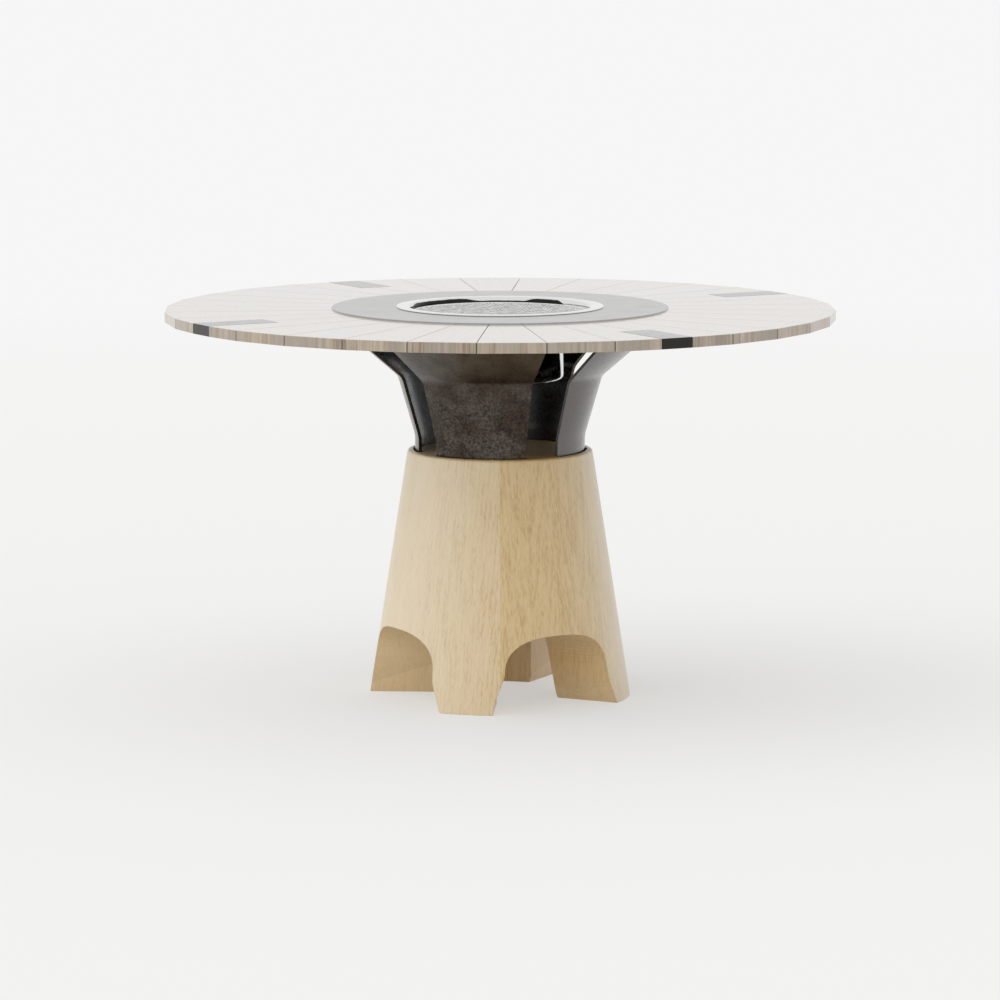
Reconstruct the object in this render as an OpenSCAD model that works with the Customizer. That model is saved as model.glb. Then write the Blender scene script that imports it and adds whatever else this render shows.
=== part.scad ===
// Round grill table. A wooden base on four legs holds four flared steel petals.
// They carry a ring, eight arms and a hoop, which hold a top of wedge boards.
// A fire bowl hangs in the middle of the top and carries its two grates.
//
// Millimetres, Z up. The floor is z = 0 and the middle of the table is x = y = 0.
// Legs and petals stand on the diagonals. Arches and end plates face X and Y.

/* [Table top] */
// Width of the top across its corners
top_d = 1306; // [1090:1:1560]
// Height of the upper face of the boards
top_h = 760; // [690:5:912]
// Thickness of the boards
board_t = 20; // [16:0.5:24]
// Number of wedge boards
board_count = 32; // [16:16:32]
// Gap between neighbouring boards
board_gap = 1; // [0.4:0.1:2]
// Width of the dark end plates let into the rim
plate_w = 65; // [50:1:78]
// Length of the dark end plates
plate_l = 150; // [125:5:180]
// Gap between an end plate and the boards round it
plate_gap = 1; // [0.4:0.1:2]

/* [Steel ring on the boards] */
// Outside diameter of the ring
ring_d = 655; // [600:5:785]
// Thickness of the ring
ring_t = 3; // [2:0.5:6]
// Bevel on the outer edge of the ring
ring_bevel = 0.8; // [0.4:0.1:1.5]

/* [Fire bowl] */
// Outside diameter of the rim that rests on the ring
rim_d = 404; // [392:1:484]
// Width of the rim that overlaps the ring
rim_lap = 7; // [5:0.5:12]
// Diameter of the dish that holds the cooking grate
dish_d = 348; // [330:1:360]
// Depth from the top of the ring to the dish floor
dish_depth = 13; // [11:0.5:16]
// Outside diameter of the fire pot
pot_d = 248; // [200:1:298]
// Depth from the top of the ring to the underside of the pot
pot_depth = 141; // [117:0.5:169]
// Radius of the bottom edge of the pot
pot_edge = 9; // [7:1:24]
// Width of the cone that opens from the pot to the dish
cone_w = 14; // [10:1:18]
// Width of the pot's flange under the floor of the dish
flange_w = 12; // [8:1:14]
// Thickness of the bowl's sheet
bowl_t = 2; // [1.5:0.5:3]

/* [Grates] */
// Diameter of the wire round the cooking grate
frame_wire_d = 5; // [4:0.5:6]
// Spacing of the openings in the cooking grate
grate_pitch = 16; // [14:0.5:24]
// Width of each opening in the cooking grate
grate_hole = 12.5; // [10:0.5:13.5]
// Thickness of the cooking grate
grate_t = 2; // [1.5:0.5:3]
// Height of the charcoal grate above the floor of the pot
coal_h = 26; // [20:1:40]
// Thickness of the charcoal grate
coal_t = 4; // [3:0.5:6]
// Width of the bars in the charcoal grate
coal_bar_w = 6; // [4:0.5:8]
// Spacing of the bars in the charcoal grate
coal_pitch = 18; // [15:0.5:24]

/* [Steel petals] */
// Thickness of the petals' plate
petal_t = 6; // [5:0.5:8]
// Angle that each petal covers round the middle
petal_span = 66; // [55:1:79]
// Diameter at the bend between the two flares
kink_d = 400; // [380:1:480]
// Height of the upper, wider flare
flare_h = 105; // [88:1:126]
// Diameter at the top of the upper flare
flare_d = 644; // [560:1:680]
// Height of the straight part that shows above the base
collar_h = 28; // [15:1:50]
// Depth of a petal in the base
tail_l = 96; // [80:1:115]

/* [Frame under the boards] */
// Thickness of the ring, the hoop and the arms' upper plates
frame_t = 5; // [4:0.5:8]
// Inside diameter of the mounting ring
mount_in_d = 410; // [400:1:490]
// Width of the mounting ring past the petals
mount_lap = 23; // [15:1:30]
// Distance from the rim of the top to the hoop
hoop_inset = 70; // [60:1:84]
// Width of the hoop
hoop_w = 40; // [33:1:48]
// Width of an arm's upper plate
arm_w = 50; // [30:1:60]
// Thickness of an arm's web
web_t = 6; // [5:0.5:8]
// Depth of an arm's web beside the petals
web_depth = 30; // [25:1:36]
// Depth of an arm's web at its tip
web_tip = 3.5; // [3:0.5:6]

/* [Wooden base] */
// Height of the base
base_h = 484; // [403:1:560]
// Diameter of the base at the floor
foot_d = 512; // [480:1:614]
// Diameter of the base at its top
base_top_d = 361; // [310:1:434]
// Thickness of the base, measured level
base_wall = 129; // [110:1:135]
// Radius of the upper outer edge
base_edge = 6; // [3:0.5:9]
// Width of the wood left outside the petals
lip_w = 10.5; // [9:0.5:16]
// Gap in front of the petals
groove_front = 4; // [3:0.5:6]
// Gap behind the petals
groove_back = 5; // [3:0.5:8]
// Diameter of the plug that closes the top of the base
plug_d = 140; // [130:1:168]
// Thickness of the plug
plug_t = 32; // [25:1:40]

/* [Arches] */
// Angle from the middle of an arch to its foot
arch_foot = 33; // [28:0.5:36]
// Angle from the middle of an arch to where its curve starts
arch_spring = 27.8; // [24:0.1:30]
// Height where the curve of an arch starts
arch_spring_h = 74; // [50:1:90]
// Height of an arch at its middle
arch_h = 147; // [122:1:176]
// Squareness of the curve, where 2 is an ellipse
arch_power = 2.5; // [2:0.1:3.5]

/* [Fasteners] */
// Diameter of the screws that hold the boards
screw_d = 5; // [4:0.5:6]
// Length of a board screw in the wood
screw_bite = 12; // [10:0.5:13]
// Diameter of the studs under the steel ring
stud_d = 8; // [6:1:10]
// Diameter of the bolts that hold the petals in the base
bolt_d = 10; // [8:1:12]
// Height of those bolts below the top of the base
bolt_drop = 54; // [45:1:64]
// Angle from the middle of a petal to its bolts
bolt_spread = 18; // [12:1:24]

/* [Hidden] */
$fn = 120;
pad = 1;
seat_gap = 0.3;
thread_gap = 0.05;
hole_gap = 0.25;

// Heights
deck_z = top_h - board_t;
frame_z = deck_z - frame_t;
kink_z = frame_z - flare_h;
collar_z = base_h + collar_h;
slot_z = base_h - tail_l;
bolt_z = base_h - bolt_drop;
ring_top = top_h + ring_t;
ledge_z = ring_top - dish_depth;
pot_z = ring_top - pot_depth;

// Radii and angles of the top. The boards start a little outside the hole of the mounting ring.
board_inset = 10;
top_r = top_d / 2;
board_angle = 360 / board_count;
board_half = board_angle / 2;
board_out = top_r * cos(board_half);
board_in = mount_in_d / 2 + board_inset;
plate_in = top_r - plate_l;
plate_out = top_r - plate_w / 2 * tan(board_half);
stud_turns = [22.5:45:337.5];
quarter_turns = [0:90:270];
diagonal_turns = [45:90:315];

// Radii of the frame. Studs and inner screws are placed from the hole of the mounting ring.
stud_inset = 75;
inner_screw_inset = 42;
arm_root_inset = 10;
arm_tip_inset = 5;
mount_in = mount_in_d / 2;
mount_out = flare_d / 2 + mount_lap;
hoop_out = top_r - hoop_inset;
hoop_in = hoop_out - hoop_w;
hoop_mid = (hoop_in + hoop_out) / 2;
stud_r = mount_in + stud_inset;
inner_screw_r = mount_in + inner_screw_inset;
plate_screw_y = 18;

// Radii of the petals and of the slots that they stand in
collar_r = base_top_d / 2 - lip_w - groove_front;
kink_r = kink_d / 2;
flare_r = flare_d / 2;
flare_run = flare_r - kink_r;
flare_long = norm([flare_run, flare_h]);
bend_reach = 9;
slot_in = collar_r - petal_t - groove_back;
slot_out = collar_r + groove_front;
slot_half = petal_span / 2 + 1;

// Bowl. The wall of the dish rolls over into a rim that rises a little towards its edge.
wall_lean = 1;
rim_drop = .6;
rim_roll = 5;
rim_seat = 0.1;
rim_rise = 0.6;
rim_r = rim_d / 2;
ring_hole = rim_r - rim_lap;
dish_r = dish_d / 2;
pot_r = pot_d / 2;
ledge_in = pot_r + cone_w;

// Grates, each with some play in the bowl
grate_play = 1.5;
mesh_play = 0.1;
coal_play = 6;
frame_wire_r = frame_wire_d / 2;
grate_r = dish_r - grate_play - frame_wire_r;
grate_z = ledge_z + seat_gap + frame_wire_r;
mesh_r = grate_r - frame_wire_r - mesh_play;
mesh_edge = 5;
coal_r = pot_r - bowl_t - coal_play;
coal_ring_w = 16;
coal_leg_r = 4;
coal_leg_at = pot_r - pot_edge - coal_leg_r;
coal_z = pot_z + bowl_t + coal_h;

// Base. The bolts' washers sit in flat spots a little outside the plug.
spot_inset = 5;
arch_overcut = 5;
foot_r = foot_d / 2;
base_top_r = base_top_d / 2;
plug_r = plug_d / 2;
spot_r = plug_r + spot_inset;

// Fastener heads
screw_head_r = screw_d;
screw_head_h = 3.5;
screw_chamfer = 1;
stud_play = 1;
stud_tip = 2;
nut_r = 0.94 * stud_d;
nut_h = 0.8 * stud_d;
washer_t = 1.6;
washer_r = 1.05 * stud_d;
bolt_head_r = 0.92 * bolt_d;
bolt_head_h = 0.64 * bolt_d;
bolt_washer_r = bolt_d;
bolt_washer_t = 2;
bolt_tip_gap = 1.5;

oak = [0.83, 0.74, 0.58];
bleached = [0.85, 0.83, 0.79];
blackened = [0.16, 0.15, 0.13];
patina = [0.33, 0.29, 0.25];
satin = [0.75, 0.75, 0.73];
polished = [0.88, 0.88, 0.88];
frame_black = [0.13, 0.13, 0.14];
zinc = [0.66, 0.67, 0.69];

function two_digits(i) = str(i < 10 ? "0" : "", i);
function board_name(i) = str("board_", two_digits(i + 1));
plate_names = ["end_plate_right", "end_plate_back", "end_plate_left", "end_plate_front"];
petal_names = ["petal_back_right", "petal_back_left", "petal_front_left", "petal_front_right"];
function arm_name(i) = str("arm_", i + 1);

// Sheet profiles: a path in the plane of radius and height, and its copy moved to the left.
function unit(v) = v / norm(v);
function left_of(v) = [-v[1], v[0]];
function run_of(path, i) = unit(path[i + 1] - path[i]);
function moved(path, i, t) =
    let (last = len(path) - 1)
    let (before = left_of(run_of(path, max(i - 1, 0))))
    let (after = left_of(run_of(path, min(i, last - 1))))
    path[i] + t * (before + after) / (1 + before * after);
function sheet(path, t) =
    concat(path, [for (i = [len(path) - 1:-1:0]) moved(path, i, t)]);

// A path with each inner corner swapped for a short curve that starts reach before it.
function corner_curve(a, b, c, reach, steps) =
    let (start = b + unit(a - b) * reach)
    let (end = b + unit(c - b) * reach)
    [for (s = [0:steps])
        let (t = s / steps)
        (1 - t) ^ 2 * start + 2 * t * (1 - t) * b + t ^ 2 * end];
function eased(path, reach, steps = 6) = concat(
    [path[0]],
    [for (i = [1:len(path) - 2]) each corner_curve(path[i - 1], path[i], path[i + 1], reach, steps)],
    [path[len(path) - 1]]);

// Half the width of a board at a distance x from the middle.
function board_side(x) = x * tan(board_half) - board_gap / 2 / cos(board_half);

// Radius of the base outside and inside at a height z.
function base_outer(z) = foot_r - (foot_r - base_top_r) * z / base_h;
function base_inner(z) = base_outer(z) - base_wall;

// A wedge board: straight sides, a straight end at the rim, screw holes from below.
module board(i) {
    turn = (i + 0.5) * board_angle;
    color(bleached)
    difference() {
        rotate([0, 0, turn]) wedge();
        for (a = [0:90:360])
            if (abs(a - turn) < board_angle) rotate([0, 0, a]) plate_notch();
        for (a = stud_turns)
            if (abs(a - turn) < board_angle) rotate([0, 0, a]) stud_hole();
        rotate([0, 0, turn]) board_screw_holes();
    }
}

module wedge() {
    translate([0, 0, deck_z])
    linear_extrude(board_t)
        polygon([
            [board_in, -board_side(board_in)],
            [board_out, -board_side(board_out)],
            [board_out, board_side(board_out)],
            [board_in, board_side(board_in)]]);
}

module plate_notch() {
    translate([plate_in - plate_gap, -plate_w / 2 - plate_gap, deck_z - pad])
        cube([plate_l + 2 * plate_gap, plate_w + 2 * plate_gap, board_t + 2 * pad]);
}

module stud_hole() {
    translate([stud_r, 0, deck_z - pad])
        cylinder(r = stud_d / 2 + stud_play, h = board_t + 2 * pad);
}

module board_screw_holes() {
    for (r = [inner_screw_r, hoop_mid])
        translate([r, 0, deck_z - pad])
            cylinder(d = screw_d + 2 * thread_gap, h = screw_bite + pad + seat_gap);
}

// A dark plate let into the rim, flush with the boards above and below.
module end_plate(a) {
    color(blackened)
    rotate([0, 0, a])
    difference() {
        translate([plate_in, -plate_w / 2, deck_z])
            cube([plate_out - plate_in, plate_w, board_t]);
        for (y = [-plate_screw_y, plate_screw_y])
            translate([hoop_mid, y, deck_z - pad])
                cylinder(d = screw_d + 2 * thread_gap, h = screw_bite + pad + seat_gap);
    }
}

// The steel ring on the boards, with a bevel round its outer edge.
module ring_plate() {
    color(satin)
    rotate_extrude()
        polygon([
            [ring_hole, top_h],
            [ring_d / 2, top_h],
            [ring_d / 2, ring_top - ring_bevel],
            [ring_d / 2 - ring_bevel, ring_top],
            [ring_hole, ring_top]]);
}

// The ring under the boards that the petals carry.
module mounting_ring() {
    color(frame_black)
    difference() {
        translate([0, 0, frame_z]) cylinder(r = mount_out, h = frame_t);
        translate([0, 0, frame_z - pad]) cylinder(r = mount_in, h = frame_t + 2 * pad);
        for (i = [0:board_count - 1])
            frame_screw_hole((i + 0.5) * board_angle, inner_screw_r, 0);
        for (a = stud_turns)
            rotate([0, 0, a])
            translate([stud_r, 0, frame_z - pad])
                cylinder(d = stud_d + 2 * hole_gap, h = frame_t + 2 * pad);
    }
}

module frame_screw_hole(a, r, y) {
    rotate([0, 0, a])
    translate([r, y, frame_z - pad])
        cylinder(d = screw_d + 2 * hole_gap, h = frame_t + 2 * pad);
}

// The hoop near the rim that every board and end plate is screwed to.
module support_hoop() {
    color(frame_black)
    difference() {
        translate([0, 0, frame_z]) cylinder(r = hoop_out, h = frame_t);
        translate([0, 0, frame_z - pad]) cylinder(r = hoop_in, h = frame_t + 2 * pad);
        for (i = [0:board_count - 1])
            frame_screw_hole((i + 0.5) * board_angle, hoop_mid, 0);
        for (a = quarter_turns)
            for (y = [-plate_screw_y, plate_screw_y])
                frame_screw_hole(a, hoop_mid, y);
    }
}

// A T-shaped arm: a flat plate between the ring and the hoop, and a tapered web under all three.
// Arms on the diagonals start at a petal, and the others at the hole of the mounting ring.
module arm(i) {
    at_petal = i % 2 == 1;
    root = at_petal ? flare_r + seat_gap * flare_long / flare_h : mount_in + arm_root_inset;
    lean = at_petal ? web_depth * flare_run / flare_h : 0;
    tip = hoop_out - arm_tip_inset;
    color(frame_black)
    rotate([0, 0, 45 * i]) {
        difference() {
            intersection() {
                translate([mount_out - pad, -arm_w / 2, frame_z])
                    cube([hoop_in - mount_out + 2 * pad, arm_w, frame_t]);
                translate([0, 0, frame_z - pad])
                    cylinder(r = hoop_in - seat_gap, h = frame_t + 2 * pad);
            }
            translate([0, 0, frame_z - pad])
                cylinder(r = mount_out + seat_gap, h = frame_t + 2 * pad);
        }
        rotate([90, 0, 0])
        linear_extrude(web_t, center = true)
            polygon([
                [root, frame_z],
                [root - lean, frame_z - web_depth],
                [tip, frame_z - web_tip],
                [tip, frame_z]]);
    }
}

// A petal of bent plate: straight in the base, then two flares. It turns round the middle,
// its side edges point at the middle, and its upper edge is cut level under the mounting ring.
module petal(a) {
    face = eased([[collar_r, slot_z], [collar_r, collar_z], [kink_r, kink_z], [flare_r, frame_z]],
        bend_reach);
    back = [for (i = [len(face) - 2:-1:0]) moved(face, i, petal_t)];
    top_back = [flare_r - petal_t * flare_long / flare_h, frame_z];
    color(patina)
    difference() {
        rotate([0, 0, a - petal_span / 2])
        rotate_extrude(angle = petal_span)
            polygon(concat(face, [top_back], back));
        for (side = [-bolt_spread, bolt_spread])
            rotate([0, 0, a + side])
            translate([slot_in, 0, bolt_z])
            rotate([0, 90, 0])
                cylinder(d = bolt_d + 2 * thread_gap, h = slot_out - slot_in);
    }
}

// The dish of the bowl: a floor for the cooking grate, a low wall and a rim that rests on the ring.
module fire_dish() {
    underside = ledge_z - bowl_t;
    wall_r = dish_r + bowl_t;
    inner_rim = [wall_r + wall_lean, ring_top - rim_drop];
    seat = [ring_hole, ring_top + rim_seat];
    roll = corner_curve([wall_r, underside], inner_rim, seat, rim_roll, 6);
    color(polished)
    rotate_extrude()
        polygon(sheet(concat(
            [[ledge_in, underside], [wall_r, underside]],
            roll,
            [seat, [rim_r, ring_top + rim_rise]]), bowl_t));
}

// The pot of the bowl: a pressed pan, and on its edge a wall with a cone and a flange that is welded
// under the dish.
module fire_pot() {
    flange_z = ledge_z - 2 * bowl_t;
    seam_z = pot_z + pot_edge + bowl_t;
    pan_edge = [for (t = [-90:10:0])
        [pot_r - pot_edge + pot_edge * cos(t), pot_z + pot_edge + pot_edge * sin(t)]];
    color(polished) {
        rotate_extrude()
            polygon(sheet(concat([[0, pot_z]], pan_edge, [[pot_r, seam_z]]), bowl_t));
        rotate_extrude()
            polygon(sheet([
                [pot_r, seam_z + thread_gap],
                [pot_r, flange_z - cone_w],
                [ledge_in, flange_z],
                [ledge_in + flange_w, flange_z]], bowl_t));
    }
}

// The round wire that frames the cooking grate.
module grate_frame() {
    color(polished)
    translate([0, 0, grate_z])
    rotate_extrude()
        translate([grate_r, 0])
            circle(r = frame_wire_r, $fn = 32);
}

// The cooking grate: a disc with a square opening at each place of a grid that lies inside it.
module grate_mesh() {
    count = floor(mesh_r / grate_pitch);
    reach = mesh_r - mesh_edge;
    color(satin)
    translate([0, 0, grate_z - grate_t / 2])
    linear_extrude(grate_t)
    difference() {
        circle(r = mesh_r);
        for (i = [-count:count])
            for (j = [-count:count])
                if (norm([abs(i), abs(j)] * grate_pitch + [1, 1] * grate_hole / 2) < reach)
                    translate([i, j] * grate_pitch) square(grate_hole, center = true);
    }
}

// The charcoal grate: a flat ring with bars across it, on four short legs.
module charcoal_grate() {
    bars = floor((coal_r - coal_ring_w) / coal_pitch);
    color(frame_black) {
        translate([0, 0, coal_z])
        linear_extrude(coal_t) {
            difference() {
                circle(r = coal_r);
                circle(r = coal_r - coal_ring_w);
            }
            intersection() {
                circle(r = coal_r - coal_ring_w / 2);
                for (i = [-bars:bars])
                    translate([0, i * coal_pitch])
                        square([2 * coal_r, coal_bar_w], center = true);
            }
        }
        for (a = diagonal_turns)
            rotate([0, 0, a])
            translate([coal_leg_at, 0, pot_z + bowl_t + seat_gap])
                cylinder(r = coal_leg_r, h = coal_h - seat_gap + coal_t / 2);
    }
}

// Half the angle of an arch at a height z: a straight leg, then a squared ellipse.
function arch_half(z) = z < arch_spring_h
    ? arch_foot + (arch_spring - arch_foot) * z / arch_spring_h
    : arch_spring * (1 - ((z - arch_spring_h) / (arch_h - arch_spring_h)) ^ arch_power) ^ (1 / arch_power);

// The space of one arch, stacked in levels. Its sides point at the middle of the table.
module arch_space() {
    steps = 16;
    last_turn = 88;
    near = base_inner(arch_h) * cos(arch_foot) - arch_overcut;
    far = foot_r / cos(arch_foot) + arch_overcut;
    curve_h = arch_h - arch_spring_h;
    levels = concat([-pad], [for (s = [0:steps]) arch_spring_h + curve_h * sin(last_turn * s / steps)]);
    points = [for (z = levels)
        for (corner = [[near, -1], [far, -1], [far, 1], [near, 1]])
            let (turn = corner[1] * arch_half(z))
            [corner[0] * cos(turn), corner[0] * sin(turn), z]];
    last = len(levels) - 1;
    sides = [for (k = [0:last - 1])
        for (c = [0:3])
            let (low = 4 * k + c)
            let (next = 4 * k + (c + 1) % 4)
            each [[low, low + 4, next], [next, low + 4, next + 4]]];
    polyhedron(points, concat([[0, 1, 2], [0, 2, 3]], sides,
        [[4 * last + 2, 4 * last + 1, 4 * last], [4 * last + 3, 4 * last + 2, 4 * last]]));
}

// The base: a hollow cone with four arches, four slots for the petals and a seat for the plug.
module wooden_base() {
    seat_z = base_h - plug_t;
    outside = eased([[foot_r, 0], [base_top_r, base_h], [plug_r, base_h]], base_edge);
    color(oak)
    difference() {
        rotate_extrude()
            polygon(concat(
                [[base_inner(0), 0]],
                outside,
                [[plug_r, seat_z], [base_inner(seat_z), seat_z]]));
        for (a = quarter_turns)
            rotate([0, 0, a]) arch_space();
        for (a = diagonal_turns)
            rotate([0, 0, a - slot_half])
            rotate_extrude(angle = 2 * slot_half)
                translate([slot_in, slot_z])
                    square([slot_out - slot_in, tail_l + pad]);
        at_each_bolt() {
            cylinder(d = bolt_d + 2 * hole_gap, h = slot_in + pad);
            cylinder(r = bolt_washer_r + 1, h = spot_r);
        }
    }
}

// Children lie along a level line from the middle outwards, once for each bolt of the base.
module at_each_bolt() {
    for (a = diagonal_turns)
        for (side = [-bolt_spread, bolt_spread])
            rotate([0, 0, a + side])
            translate([0, 0, bolt_z])
            rotate([0, 90, 0])
                children();
}

// The round plug that closes the top of the base.
module centre_plug() {
    color(oak)
    translate([0, 0, base_h - plug_t])
        cylinder(r = plug_r - hole_gap, h = plug_t);
}

// Screws from below: two in each board and two in each end plate.
module deck_screws() {
    color(zinc) {
        for (i = [0:board_count - 1])
            for (r = [inner_screw_r, hoop_mid])
                deck_screw((i + 0.5) * board_angle, r, 0);
        for (a = quarter_turns)
            for (y = [-plate_screw_y, plate_screw_y])
                deck_screw(a, hoop_mid, y);
    }
}

module deck_screw(a, r, y) {
    rotate([0, 0, a])
    translate([r, y, frame_z - screw_head_h]) {
        cylinder(r1 = 0.7 * screw_head_r, r2 = screw_head_r, h = screw_chamfer);
        translate([0, 0, screw_chamfer]) cylinder(r = screw_head_r, h = screw_head_h - screw_chamfer);
        translate([0, 0, screw_head_h]) cylinder(d = screw_d, h = frame_t + screw_bite);
    }
}

// Studs welded under the steel ring, each with a nut and a washer that clamp ring, boards and frame.
module ring_studs() {
    nut_z = frame_z - washer_t - nut_h;
    color(zinc)
    for (a = stud_turns)
        rotate([0, 0, a])
        translate([stud_r, 0, nut_z]) {
            translate([0, 0, -stud_tip])
                cylinder(d = stud_d, h = top_h - nut_z + stud_tip);
            difference() {
                union() {
                    cylinder(r = nut_r, h = nut_h, $fn = 6);
                    translate([0, 0, nut_h]) cylinder(r = washer_r, h = washer_t);
                }
                translate([0, 0, -pad])
                    cylinder(d = stud_d + 2 * thread_gap, h = nut_h + washer_t + 2 * pad);
            }
        }
}

// Bolts from the hollow of the base through the wood into the petals.
module base_bolts() {
    washer_at = spot_r - bolt_washer_t;
    shank_end = slot_out - bolt_tip_gap;
    color(zinc)
    at_each_bolt() {
        translate([0, 0, washer_at - bolt_head_h])
            cylinder(r = bolt_head_r, h = bolt_head_h, $fn = 6);
        translate([0, 0, washer_at]) cylinder(r = bolt_washer_r, h = bolt_washer_t);
        translate([0, 0, spot_r]) cylinder(d = bolt_d, h = shank_end - spot_r);
    }
}

// Every stud, nut, washer and bolt that is not a wood screw.
module studs_and_bolts() {
    ring_studs();
    base_bolts();
}

for (i = [0:board_count - 1])
    board(i);
for (i = [0:3])
    end_plate(90 * i);
for (i = [0:3])
    petal(45 + 90 * i);
for (i = [0:7])
    arm(i);
ring_plate();
mounting_ring();
support_hoop();
fire_dish();
fire_pot();
grate_frame();
grate_mesh();
charcoal_grate();
wooden_base();
centre_plug();
deck_screws();
studs_and_bolts();
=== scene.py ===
"""Round grill table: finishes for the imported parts, eased boards, a spun dish, a woven grate and a studio.

Metres, Z up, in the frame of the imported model: the floor is z = 0 and the middle of the table is x = y = 0.
Legs and petals stand on the diagonals, and the arches and the dark end plates face X and Y.
"""

import math

import bpy
import numpy as np
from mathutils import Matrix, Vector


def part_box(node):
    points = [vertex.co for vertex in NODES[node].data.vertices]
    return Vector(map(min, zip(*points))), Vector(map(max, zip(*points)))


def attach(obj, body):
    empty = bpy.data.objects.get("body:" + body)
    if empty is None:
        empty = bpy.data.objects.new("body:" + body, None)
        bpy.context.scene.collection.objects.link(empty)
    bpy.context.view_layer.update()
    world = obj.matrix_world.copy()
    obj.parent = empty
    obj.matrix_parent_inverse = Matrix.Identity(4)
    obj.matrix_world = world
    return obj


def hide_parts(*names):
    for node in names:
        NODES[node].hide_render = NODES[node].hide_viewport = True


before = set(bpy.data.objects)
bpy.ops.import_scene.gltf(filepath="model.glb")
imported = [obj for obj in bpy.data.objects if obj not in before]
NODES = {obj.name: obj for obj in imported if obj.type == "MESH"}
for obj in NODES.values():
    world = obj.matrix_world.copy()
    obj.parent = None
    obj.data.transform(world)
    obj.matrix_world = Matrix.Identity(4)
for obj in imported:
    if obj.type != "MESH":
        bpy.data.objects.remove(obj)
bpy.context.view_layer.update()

bl_info = {
    "name": "Grill table",
    "version": (1, 0, 0),
    "blender": (4, 5, 0),
    "location": "3D View > Sidebar > Grill table",
    "description": "Finishes, eased boards, a spun dish, a woven grate and a studio for a grill table",
    "category": "Object",
}

QUARTERS = ("right", "back", "left", "front")
DIAGONALS = ("back_right", "back_left", "front_left", "front_right")
# Most values of a noise lie in this range.
NOISE_RANGE = {"From Min": 0.3, "From Max": 0.7}
# Level directions from the middle: the key light's side, towards which the base is painted paler, and the
# corner whose petal is painted palest.
LIT_SIDE = (-0.966, 0.259, 0)
SHEEN_CORNER = (1, -1, 0)
# Heights on a petal between which the mill scale thins out towards the top.
SCALE_FADE = {"From Min": 0.66, "From Max": 0.56}
# Three stretches of the painted dark reflection: the middle and the half widths at full height and at none,
# in degrees, and the share of the climb. The share of the third one is negative, because there the band is
# lower.
DARK_REFLECTION_STRETCHES = ((107, 22, 34, 1), (29, 8, 15, 1), (-15, 24, 32, -1.5))
# How far the painted dark reflection's upper edge wanders, how soft it is, and how far inside the wall's
# foot it starts and is full.
DARK_REFLECTION_WANDER, DARK_REFLECTION_SOFT, DARK_REFLECTION_WALL = 0.0012, 0.0005, (0.0045, 0.0035)
# The dish's rim lies this far over the ring, and its edges above this angle stay sharp.
RIM_REST, SHARP_ANGLE = 0.0001, math.radians(50)
# A patch of grain for each board is picked this far from the middle of the pattern at most, in metres.
GRAIN_SEED, GRAIN_REACH = 7, 9
FLOOR_SIDES = 96
# Distances from the middle between which the floor turns to plain white.
FLOOR_FADE = {"From Min": 2.5, "From Max": 8}
# The camera: its place, how far it looks down, its lens and sensor in millimetres, and how far it sees.
CAMERA_PLACE, CAMERA_DOWN = (-4.650, -8.054, 1.668), math.radians(7.871)
CAMERA_LENS, CAMERA_SENSOR, CAMERA_REACH = 172.55, 36, 100


def linear(code):
    """The linear colour of an sRGB hex code. A channel up to 0.04045 is divided by 12.92. For a higher one,
    0.055 is added, the sum is divided by 1.055, and the result is raised to the power of 2.4."""
    channels = np.array([int(code[i : i + 2], 16) for i in (1, 3, 5)]) / 255
    return tuple(np.where(channels <= 0.04045, channels / 12.92, ((channels + 0.055) / 1.055) ** 2.4))


def per(size):
    """How many features of this size in millimetres fit in a metre, which is the scale of a pattern."""
    return 1000 / size


# Settings


def tint(name, description, code):
    """A colour that a user may change. Its default is an sRGB hex code."""
    return bpy.props.FloatVectorProperty(
        name=name, description=description, subtype="COLOR", default=linear(code)
    )


def metres(name, description, default):
    """A size that a user may change, in metres."""
    return bpy.props.FloatProperty(name=name, description=description, default=default, unit="LENGTH")


def degrees(name, description, default):
    """An angle that a user may change. Its default is in degrees."""
    return bpy.props.FloatProperty(
        name=name, description=description, default=math.radians(default), subtype="ANGLE"
    )


class GrillTableWood(bpy.types.PropertyGroup):
    """Sizes and colours of the boards and of the base."""

    board_count: bpy.props.IntProperty(
        name="Boards", description="Number of wedge boards", default=32, min=16, max=32
    )
    top_radius: metres("Top radius", "From the middle to the corners of the rim", 0.653)
    board_start: metres("Board start", "From the middle to the boards' inner ends", 0.215)
    board_gap: metres("Board gap", "Gap between neighbouring boards", 0.001)
    arris: metres("Arris", "Radius of the eased edges of boards and plates", 0.0009)
    stave_count: bpy.props.IntProperty(name="Staves", description="Number of staves in the base", default=12)
    top_light: tint("Top, light", "Lightest grain of the boards", "#CEC5B8")
    top_middle: tint("Top, middle", "Main tone of the boards", "#B5A896")
    top_dark: tint("Top, dark", "Darkest grain of the boards", "#8A7B69")
    top_grey: tint("Top, grey", "Silvered strips of the boards", "#A59F98")
    # Painted sheen: the even pale tone painted on the boards' upper faces.
    top_sheen: tint("Top, sunned", "Even tone of the upper faces", "#BFB6AC")
    top_end: tint("Top, cut ends", "Tint of the cut ends", "#E9E2D8")
    top_joint: tint("Top, joints", "Dirt where two boards meet", "#4A4138")
    base_light: tint("Base, light", "Lightest grain of the base", "#DEC9A6")
    base_middle: tint("Base, middle", "Main tone of the base", "#D6BE94")
    base_dark: tint("Base, dark", "Darkest grain of the base", "#BA9A6A")
    # Painted sheen: the pale tone painted on two opposite sides of the base.
    base_sheen: tint("Base, sunned", "Tone of the bleached sides", "#D8CDB7")
    base_sawn: tint("Base, sawn", "Tint of the arches' sawn faces", "#FFF6E2")
    base_flat: tint("Base, flat-sawn", "Tint of the flat-sawn staves", "#FAF4E2")


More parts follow.
